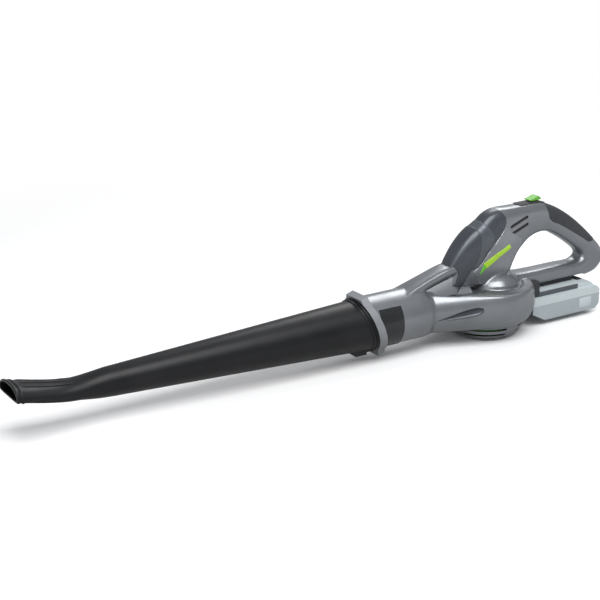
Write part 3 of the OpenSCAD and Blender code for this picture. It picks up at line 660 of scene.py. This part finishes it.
def build_casing(settings):
    """The casing's two halves, and the dark plates behind its slots that paint the shade inside them."""
    block = casing_block(settings.voxel / MM)
    for side, name, node in ((1, "casing_left", "left_housing"), (-1, "casing_right", "right_housing")):
        half = copy_of(block, name)
        cut_plane(half, (0, side * settings.seam / 2 / MM, 0), (0, -side, 0))
        settle(half, "casing_grey", "casing", node, 40)
        # painted shade inside the duct's hollow
        paint_scoop_shade(half, side)
    bpy.data.objects.remove(block)
    # painted shade: dark plastic plates at the floors of the slots stand in for the shade inside the vents
    shade_bed = loft("shade_bed", spine_stations(), 3.3)
    for k in (0, 1):
        plate = slab("vent_shade_plate", slot_outline(VENTS[k], VENT_LONG, VENT_WIDE - 0.1, -VENT_LEAN), -30, 30)
        combine(plate, copy_of(shade_bed, "core"), "INTERSECT")
        plate.name = f"vent_shade_plate_{k}"
        settle(plate, "dark_plastic", "casing")
    bpy.data.objects.remove(shade_bed)


# ---------- panels on the spine ----------

# painted reflection: the plates' darker greys paint the dark reflections on the spine's glossy grey
PLATES = {
    "spine_plate_low": (2.0, "plate_grey", [
        (105, 186), (60, 192), (44, 197), (33, 190), (28, 178), (26.5, 166), (28, 152), (31, 140),
        (37, 128), (49, 113), (59, 98), (70, 78.5), (74, 90), (73, 104), (70, 118), (80, 126), (110, 136)]),
    "spine_plate_mid": (1.2, "plate_mid", [
        (60, 225), (36, 208), (27, 200), (14, 188), (5, 178), (1, 168), (2, 160), (11, 150),
        (21, 138), (29, 124), (44, 120), (70, 150), (90, 190)]),
    "spine_plate_high": (0.5, "plate_grey", [
        (40, 225), (-6, 225), (-14, 213), (-22, 201), (-26, 192), (-24, 182), (-17, 171), (0, 156),
        (14, 141), (28, 124), (44, 124), (50, 170)]),
}


def skin_panel(name, lift, outline, colour, voxel=1.1, curve=True, side=0):
    """A plate that follows the spine's skin inside an outline drawn from the side."""
    shape = curve_outline(outline) if curve else outline
    low = 8 if side > 0 else -45
    high = -8 if side < 0 else 45
    plate = slab(name, shape, low, high)
    combine(plate, loft("skin", spine_stations(), -lift), "INTERSECT")
    melt(plate, voxel, 3)
    plate.name = name
    return settle(plate, colour, "casing", angle=50)


def build_bezel():
    """Dark plate under the switch, which follows the handle's back."""
    mid = middle("switch_plate", "x")
    plan = slot_outline((mid, 0), 62, 20, 0)
    plate = ring_solid("bezel", [[(x, y, z) for x, y in plan] for z in (HANDLE_Z - 30, HANDLE_Z + 8)])
    combine(plate, loft("skin", spine_stations(), -1.5), "INTERSECT")
    combine(plate, loft("core", spine_stations(), 3), "DIFFERENCE")
    soften(plate, 0.5, 2, 40)
    plate.name = "switch_bezel"
    settle(plate, "dark_plastic", "casing", "switch_plate", 45)


def build_pack_block():
    """Grey rail plates on the battery's narrow top, darker to paint the shade on that recessed face, and
    its bare side windows.
    """
    x0, x1 = edge("battery_upper_case", "x", True) - 19, edge("battery_button", "x", True) + 14
    top = edge("battery_upper_case", "z", True)
    for side, end in ((1, "left"), (-1, "right")):
        outline = [(x0, top - 1), (x0, top - 13), (x1, top - 13), (x1, top - 1)]
        y0, y1 = sorted((side * 27, side * 29.2))
        # painted shade: the darker grey of these plates stands in for the shade on the rail top's side
        plate = soften(slab("plate", outline, y0, y1), 0.6, 2)
        plate.name = "pack_rail_shade_" + end
        settle(plate, "plate_mid", "battery")
        y0, y1 = sorted((side * 36, side * 37.3))
        pane = soften(slab("pane", [(-181, 33), (-181, 16), (-207, 16), (-207, 33)], y0, y1), 0.4, 2)
        pane.name = "pack_pane_" + end
        settle(pane, "pack_top", "battery")


def build_plates(settings):
    """Everything that lies on the casing's skin, and the battery's block."""
    build_bezel()
    build_pack_block()
    for name, (lift, colour, outline) in PLATES.items():
        skin_panel(name, lift, outline, colour)
    # painted light: the shield panel takes the lighter panel_grey where it faces the light
    shield = [(40, 113), (27, 124), (8, 146), (-14, 168), (-26, 180), (-36, 170), (-62, 152),
              (-52, 128), (-42, 108), (-36, 92), (0, 82), (14, 79), (26, 94)]
    skin_panel("shield_panel", 0.8, shield, "panel_grey")
    bar = [(22, 125.5), (-6, 139.5), (-31, 150.5), (-35, 144), (-12, 131.5), (14, 116)]
    tail = [(28.5, 106), (20.5, 126.5), (12, 117.5)]
    for side, name, node in (
            (1, "lime_bar_left", "side_accent_left"), (-1, "lime_bar_right", "side_accent_right")):
        piece = skin_panel(name, 1.5, bar, "lime_plastic", 0.9, False, side)
        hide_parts(node)
        end = "left" if side > 0 else "right"
        skin_panel("bar_tail_" + end, 1.25, tail, "green_plastic", 0.9, False, side)
        web = [(148, 93), (120, 101), (92, 108), (63, 114.5), (68.5, 80), (110, 82), (150, 87)]
        sliver = [(52, 104), (66, 79), (33, 74)]
        for k, outline in enumerate((web, sliver)):
            y0, y1 = sorted((side * 11, side * (15.5 - k)))
            plate = soften(slab("plate", outline, y0, y1), 0.8, 2)
            plate.name = f"web_panel_{end}_{k}"
            settle(plate, "web_grey", "casing", angle=50)


# ---------- soft grip ----------

def grip_zone():
    """Outline of the soft grip in the side view."""
    h = HANDLE_Z
    return [(-112, h + 20), (-113, h - 4), (-118, h - 20), (-121, h - 30), (-128, h - 36), (-142, h - 42),
            (-160, h - 52), (-185, h - 67), (-212, h - 84), (-222, h - 84),
            (-238, h - 70), (-268, h - 48), (-260, h + 20)]


def build_grip(settings):
    """Soft grip with a row of grooves along the top and slanting ones down the side."""
    grip = slab("grip", grip_zone(), -45, 45)
    combine(grip, loft("skin", spine_stations(), -0.3), "INTERSECT")
    rib = [(-123, 190), (-135, 187), (-148, 183), (-165, 173), (-183, 160.5), (-198, 149), (-212, 138)]
    marks = [([q for q in zip((-145, -130), (181, 171))], 1.5), ([(-162, 171), (-149, 163)], 1.5),
             ([(-178, 161), (-167, 153)], 1.5), ([(-195, 149), (-183, 142)], 1.5),
             ([(-209, 137), (-200, 130)], 1.5)]
    marks += [([rib[k], rib[k + 1]], 1.3) for k in range(len(rib) - 1)]
    for (a, b), width in marks[:settings.grooves + len(rib) - 1]:
        centre = ((a[0] + b[0]) / 2, (a[1] + b[1]) / 2)
        run = math.hypot(a[0] - b[0], a[1] - b[1]) + 2
        lean = math.atan2(a[1] - b[1], a[0] - b[0])
        groove = slab("groove", slot_outline(centre, run, width, lean), -45, 45)
        combine(groove, loft("core", spine_stations(), 1.0), "DIFFERENCE")
        combine(grip, groove, "DIFFERENCE")
    melt(grip, 0.75, 1)
    grip.name = "soft_grip"
    settle(grip, "grip_rubber", "casing", "grip_overmold", 50)


# ---------- blower tube ----------

# x, lowest z, height, half width and flatness of the tip
TIP_STATIONS = [
    (-42, 36.9, 46.3, TIP_R + 1.95, 0.0), (-10, 38.39, 43.3, TIP_R + 0.46, 0.0),
    (14, 41.3, 37.6, 21.4, 0.12), (36, 46.2, 30.2, 23.0, 0.35), (60, 51.1, 25.2, 25.2, 0.7),
    (90, 58.6, 22.8, 28.2, 0.95), (116, 65.7, 21.4, 31.2, 1.0), (138, 71.5, 20.8, 33.3, 1.0),
]


def tip_shape(x):
    """Lowest z, height, half width and flatness of the tip at x."""
    table = smooth_stations([(q[0] + TIP_X,) + q[1:] for q in TIP_STATIONS], 8)
    for a, b in zip(table, table[1:]):
        if x <= b[0]:
            t = min(max((x - a[0]) / (b[0] - a[0]), 0), 1)
            return [p + (q - p) * t for p, q in zip(a[1:], b[1:])]
    return list(table[-1][1:])


def tube_ring(x, skin, count):
    """One ring of the tube: round along the cone, growing into the flat mouth."""
    cone = TUBE_R + (TIP_R - TUBE_R) * (x - JOINT_X) / (TIP_X - JOINT_X)
    if x < TIP_X - 12:
        return [(x, (cone - skin) * math.cos(a), TUBE_Z + (cone - skin) * math.sin(a))
                for a in [2 * math.pi * (j + 0.5) / count for j in range(count)]]
    low, height, width, flat = tip_shape(x)
    ring = []
    for j in range(count):
        a = 2 * math.pi * (j + 0.5) / count
        c, n = math.cos(a), math.sin(a)
        lower = 1 - 0.62 * flat if n < 0 else 1
        y = (width - skin) * signed_power(c, 1 - 0.2 * flat if n >= 0 else lower)
        centre = low + height * (0.5 - 0.26 * flat)
        reach = (low + height - centre if n >= 0 else centre - low) - skin
        ring.append((x, y, centre + reach * signed_power(n, lower)))
    return ring


def top_of_tip(x, y):
    """Height of the tip's upper skin at x and y."""
    ring = [p for p in tube_ring(x, 0, 240) if p[2] > tip_shape(x)[0] + tip_shape(x)[1] * 0.4]
    near = sorted(ring, key=lambda p: abs(p[1] - y))[:2]
    (_, y0, z0), (_, y1, z1) = near
    t = (y - y0) / (y1 - y0) if y1 != y0 else 0
    return z0 + (z1 - z0) * t


def build_ribs():
    """Straight ribs along the top of the tip."""
    for k, at in enumerate((-15, 0, 15)):
        rings = []
        steps = 40
        x0, x1 = TIP_X + 42, MOUTH_X - 14
        for i in range(steps + 1):
            x = x0 + (x1 - x0) * i / steps
            y = at * (0.72 + 0.28 * i / steps)
            rise = 1.5 * min(1, i / 6 + 0.05, (steps - i) / 3 + 0.05)
            z = top_of_tip(x, y)
            rings.append([(x, y + 1.5 * math.cos(w), z + rise * math.sin(w) - 0.2)
                          for w in [2 * math.pi * j / 12 for j in range(12)]])
        rib = ring_solid("rib", rings)
        rib.name = f"tip_rib_{k}"
        settle(rib, "tube_black", "tube", angle=70)


def build_tube(settings):
    """The hollow tube with its rims, lips and ribs."""
    count = 168
    outer = []
    x = JOINT_X - 20
    while x < TIP_X - 12:
        outer.append(tube_ring(x, 0, count))
        x += 7
    while x < MOUTH_X - 0.5:
        outer.append(tube_ring(x, 0, count))
        x += 2
    outer.append(tube_ring(MOUTH_X - 0.4, 0, count))
    wall = 2.2
    inner = [tube_ring(x2, wall, count) for x2 in
             [JOINT_X - 40 + 12 * k for k in range(54)] if x2 < MOUTH_X - 4]
    inner.append(tube_ring(MOUTH_X + 3, wall, count))
    tube = ring_solid("tube", outer)
    bore = ring_solid("bore", inner)
    combine(tube, bore, "DIFFERENCE")
    cut_plane(tube, (JOINT_X + 0.3, 0, TUBE_Z), (-math.cos(LEAN), 0, math.sin(LEAN)))
    tube.name = "air_tube"
    soften(tube, 0.35, 1, 40)
    settle(tube, "tube_black", "tube", "blower_tube", 40)
    build_rims()
    build_ribs()


def build_rims():
    """Twin rims where the tube meets the collar, and the lips of the mouth."""
    for k, at in enumerate((8.5, 14.0)):
        rings = []
        for q, r in ((-2.1, -1.0), (-1.7, 1.0), (-0.9, 1.7), (0.9, 1.7), (1.7, 1.0), (2.1, -1.0)):
            rings.append(leaning_ring(at + q, r))
        rim = ring_solid("rim", rings)
        bore = ring_solid("bore", [leaning_ring(at + q, -1.6) for q in (-9, 9)])
        combine(rim, bore, "DIFFERENCE")
        rim.name = f"tube_rim_{k}"
        settle(rim, "tube_black", "tube", angle=60)
    for k, at in enumerate((MOUTH_X - 2.6, MOUTH_X - 9.5)):
        rings = []
        for q, r in ((-2.0, -0.8), (-1.6, 0.7), (-0.8, 1.1), (0.8, 1.1), (1.6, 0.7), (2.0, -0.8)):
            rings.append(tube_ring(at + q, -r, 168))
        lip = ring_solid(f"mouth_lip_{k}", rings)
        bore = ring_solid("bore", [tube_ring(at + q, 2.0, 168) for q in (-9, 9)])
        combine(lip, bore, "DIFFERENCE")
        lip.name = f"mouth_lip_{k}"
        settle(lip, "tube_black", "tube", angle=60)


def leaning_ring(d, grow, count=128):
    """A ring round the tube, parallel to its leaning joint and d ahead of it."""
    ring = []
    for j in range(count):
        a = 2 * math.pi * j / count
        z = TUBE_R * math.sin(a)
        x = JOINT_X + d / math.cos(LEAN) + z * math.tan(LEAN)
        r = TUBE_R + (TIP_R - TUBE_R) * (x - JOINT_X) / (TIP_X - JOINT_X) + grow
        ring.append((x, r * math.cos(a), TUBE_Z + r * math.sin(a)))
    return ring


# ---------- the CAD's own pieces ----------

def dress_nodes():
    """Gives each CAD piece that stays its finish."""
    for node, colour in NODE_FINISH.items():
        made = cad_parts[node]
        for k in range(max(len(made.material_slots), 1)):
            if not made.material_slots:
                made.data.materials.append(material(colour))
            made.material_slots[k].material = material(colour)


# ---------- stage ----------

def area_light(name, place, aim, size, power):
    lamp = bpy.data.lights.new(name, "AREA")
    lamp.shape = "RECTANGLE"
    lamp.size, lamp.size_y = size
    lamp.energy = power
    made = bpy.data.objects.new(name, lamp)
    made.location = place
    made.rotation_euler = (Vector(aim) - Vector(place)).to_track_quat("-Z", "Y").to_euler()
    bpy.context.scene.collection.objects.link(made)
    return made


def white_world(strength):
    """White behind the object and a soft grey sky for its light."""
    world = bpy.data.worlds.new("studio")
    bpy.context.scene.world = world
    world.use_nodes = True
    nodes = world.node_tree.nodes
    links = world.node_tree.links
    sky = nodes["Background"]
    sky.inputs["Color"].default_value = (0.95, 0.97, 1.0, 1)
    sky.inputs["Strength"].default_value = strength
    white = nodes.new("ShaderNodeBackground")
    white.inputs["Strength"].default_value = 1.0
    white.inputs["Color"].default_value = (1, 1, 1, 1)
    path = nodes.new("ShaderNodeLightPath")
    blend = nodes.new("ShaderNodeMixShader")
    links.new(path.outputs["Is Camera Ray"], blend.inputs[0])
    links.new(sky.outputs[0], blend.inputs[1])
    links.new(white.outputs[0], blend.inputs[2])
    links.new(blend.outputs[0], nodes["World Output"].inputs["Surface"])


def floor_material():
    """Matt white that keeps the shadow and fades to plain white far away."""
    mat = bpy.data.materials.new("studio_floor")
    mat.use_nodes = True
    nodes = mat.node_tree.nodes
    links = mat.node_tree.links
    shader = nodes["Principled BSDF"]
    shader.inputs["Roughness"].default_value = 0.9
    shader.inputs["Specular IOR Level"].default_value = 0.1
    place = nodes.new("ShaderNodeTexCoord")
    grain = nodes.new("ShaderNodeTexNoise")
    grain.inputs["Scale"].default_value = 3.0
    tint = nodes.new("ShaderNodeMapRange")
    tint.inputs["To Min"].default_value = 0.93
    tint.inputs["To Max"].default_value = 0.96
    links.new(place.outputs["Object"], grain.inputs["Vector"])
    links.new(grain.outputs["Fac"], tint.inputs["Value"])
    path = nodes.new("ShaderNodeLightPath")
    seen = nodes.new("ShaderNodeMix")
    seen.data_type = "FLOAT"
    seen.inputs[2].default_value = 0.5
    links.new(path.outputs["Is Camera Ray"], seen.inputs[0])
    links.new(tint.outputs["Result"], seen.inputs[3])
    links.new(seen.outputs[0], shader.inputs["Base Color"])
    away = nodes.new("ShaderNodeVectorMath")
    away.operation = "LENGTH"
    links.new(place.outputs["Object"], away.inputs[0])
    fade = nodes.new("ShaderNodeMapRange")
    fade.interpolation_type = "SMOOTHSTEP"
    fade.inputs["From Min"].default_value = 0.75
    fade.inputs["From Max"].default_value = 1.5
    links.new(away.outputs["Value"], fade.inputs["Value"])
    white = nodes.new("ShaderNodeEmission")
    blend = nodes.new("ShaderNodeMixShader")
    links.new(fade.outputs["Result"], blend.inputs[0])
    links.new(shader.outputs[0], blend.inputs[1])
    links.new(white.outputs[0], blend.inputs[2])
    links.new(blend.outputs[0], nodes["Material Output"].inputs["Surface"])
    return mat


def build_stage(settings):
    """Floor, sky, three soft lights and the camera."""
    reach = 9.0
    mesh = bpy.data.meshes.new("floor")
    bm = bmesh.new()
    bmesh.ops.create_grid(bm, x_segments=8, y_segments=8, size=reach)
    bm.to_mesh(mesh)
    bm.free()
    floor = bpy.data.objects.new("floor", mesh)
    floor.location = (0.25, 0, -0.0004)
    floor.data.materials.append(floor_material())
    bpy.context.scene.collection.objects.link(floor)
    white_world(settings.sky)
    mid = (cad_box[0] + cad_box[1]) / 2
    for name, away, size, power in (
            ("key", (0.3, 1.3, 2.1), (2.2, 1.6), settings.key),
            ("fill", (1.9, 1.4, 0.8), (1.4, 1.4), settings.fill),
            ("rim", (-1.6, -1.2, 1.6), (1.4, 1.0), settings.rim)):
        area_light(name, mid + Vector(away), mid, size, power)
    build_camera(settings)
    scene = bpy.context.scene
    scene.view_settings.view_transform = "Standard"
    scene.view_settings.look = "None"
    scene.view_settings.exposure = 0
    scene.view_settings.gamma = 1


def build_camera(settings):
    """A camera aimed at one point, from an azimuth, an elevation and a distance."""
    a, e, roll = settings.azimuth, settings.elevation, settings.roll
    back = Vector((math.sin(a) * math.cos(e), -math.cos(a) * math.cos(e), math.sin(e)))
    right0 = Vector((math.cos(a), math.sin(a), 0))
    up0 = back.cross(right0)
    right = right0 * math.cos(roll) + up0 * math.sin(roll)
    up = back.cross(right)
    place = Vector(settings.aim) + back * settings.distance
    lens = bpy.data.cameras.new("camera")
    lens.lens = settings.lens
    lens.sensor_width = 36
    lens.clip_start = 0.05
    camera = bpy.data.objects.new("camera", lens)
    turn = Matrix((right, up, back)).transposed().to_4x4()
    camera.matrix_world = Matrix.Translation(place) @ turn
    bpy.context.scene.collection.objects.link(camera)
    bpy.context.scene.camera = camera


# ---------- the add-on ----------

class BlowerSettings(bpy.types.PropertyGroup):
    voxel: bpy.props.FloatProperty(
        name="Skin fineness", description="Size of the cells that melt the casing into one skin",
        default=0.0014, min=0.0008, max=0.004, unit="LENGTH", precision=5)
    seam: bpy.props.FloatProperty(
        name="Seam", description="Gap between the casing's two halves",
        default=0.0003, min=0.0001, max=0.001, unit="LENGTH", precision=5)
    grooves: bpy.props.IntProperty(
        name="Grip grooves", description="How many slanting grooves the soft grip has", default=5)


class StageSettings(bpy.types.PropertyGroup):
    azimuth: bpy.props.FloatProperty(
        name="Azimuth", description="Way the camera looks round the object",
        default=math.radians(147.92), subtype="ANGLE")
    elevation: bpy.props.FloatProperty(
        name="Elevation", description="Height of the camera as an angle",
        default=math.radians(18.55), subtype="ANGLE")
    roll: bpy.props.FloatProperty(
        name="Roll", description="Tilt of the camera about its own axis",
        default=math.radians(-0.59), subtype="ANGLE")
    distance: bpy.props.FloatProperty(
        name="Distance", description="From the camera to the point that it looks at",
        default=2.296, unit="LENGTH")
    aim: bpy.props.FloatVectorProperty(
        name="Aim", description="Point that the camera looks at",
        default=(0.2483, -0.1759, 0.0512), subtype="XYZ", unit="LENGTH")
    lens: bpy.props.FloatProperty(
        name="Lens", description="Focal length in millimetres on a 36 mm sensor", default=82.62)
    key: bpy.props.FloatProperty(
        name="Key light", description="Power of the large light above", default=64)
    fill: bpy.props.FloatProperty(
        name="Fill light", description="Power of the side light", default=10)
    rim: bpy.props.FloatProperty(
        name="Rim light", description="Power of the light behind", default=22)
    sky: bpy.props.FloatProperty(
        name="Sky", description="Strength of the soft light all round", default=0.42)


class BlowerBuilder:
    bl_options = {"REGISTER"}

    def execute(self, context):
        self.build(context.scene)
        return {"FINISHED"}


class BLOWER_OT_casing(BlowerBuilder, bpy.types.Operator):
    """Melt the fan housing, handle, bar and strut into two casing halves"""
    bl_idname = "blower.casing"
    bl_label = "Casing"

    def build(self, scene):
        build_casing(scene.blower)


class BLOWER_OT_plates(BlowerBuilder, bpy.types.Operator):
    """Lay the overlapping plates on the spine"""
    bl_idname = "blower.plates"
    bl_label = "Spine plates"

    def build(self, scene):
        build_plates(scene.blower)


class BLOWER_OT_grip(BlowerBuilder, bpy.types.Operator):
    """Cover the handle's back with a grooved soft grip"""
    bl_idname = "blower.grip"
    bl_label = "Soft grip"

    def build(self, scene):
        build_grip(scene.blower)


class BLOWER_OT_tube(BlowerBuilder, bpy.types.Operator):
    """Build the air tube with its ribs, rims and lips"""
    bl_idname = "blower.tube"
    bl_label = "Air tube"

    def build(self, scene):
        build_tube(scene.blower)


class BLOWER_OT_nodes(BlowerBuilder, bpy.types.Operator):
    """Give each CAD piece that stays its finish"""
    bl_idname = "blower.nodes"
    bl_label = "CAD pieces"

    def build(self, scene):
        dress_nodes()


class BLOWER_OT_stage(BlowerBuilder, bpy.types.Operator):
    """Set up the floor, the studio light and the camera"""
    bl_idname = "blower.stage"
    bl_label = "Stage"

    def build(self, scene):
        build_stage(scene.blower_stage)


OPERATORS = (
    BLOWER_OT_casing, BLOWER_OT_plates, BLOWER_OT_grip, BLOWER_OT_tube, BLOWER_OT_nodes, BLOWER_OT_stage,
)


class BLOWER_PT_panel(bpy.types.Panel):
    """Lists the operators and their settings in the sidebar"""
    bl_label = "Leaf blower"
    bl_space_type = "VIEW_3D"
    bl_region_type = "UI"
    bl_category = "Leaf blower"

    def draw(self, context):
        for group in (context.scene.blower, context.scene.blower_stage):
            box = self.layout.box()
            for key in group.__annotations__:
                box.prop(group, key)
        for operator in OPERATORS:
            self.layout.operator(operator.bl_idname)


CLASSES = (BlowerSettings, StageSettings) + OPERATORS + (BLOWER_PT_panel,)


def register():
    for cls in CLASSES:
        bpy.utils.register_class(cls)
    bpy.types.Scene.blower = bpy.props.PointerProperty(type=BlowerSettings)
    bpy.types.Scene.blower_stage = bpy.props.PointerProperty(type=StageSettings)


def unregister():
    del bpy.types.Scene.blower_stage
    del bpy.types.Scene.blower
    for cls in reversed(CLASSES):
        bpy.utils.unregister_class(cls)


def main():
    register()
    for operator in OPERATORS:
        getattr(bpy.ops.blower, operator.bl_idname.split(".")[1])()


if __name__ == "__main__":
    main()
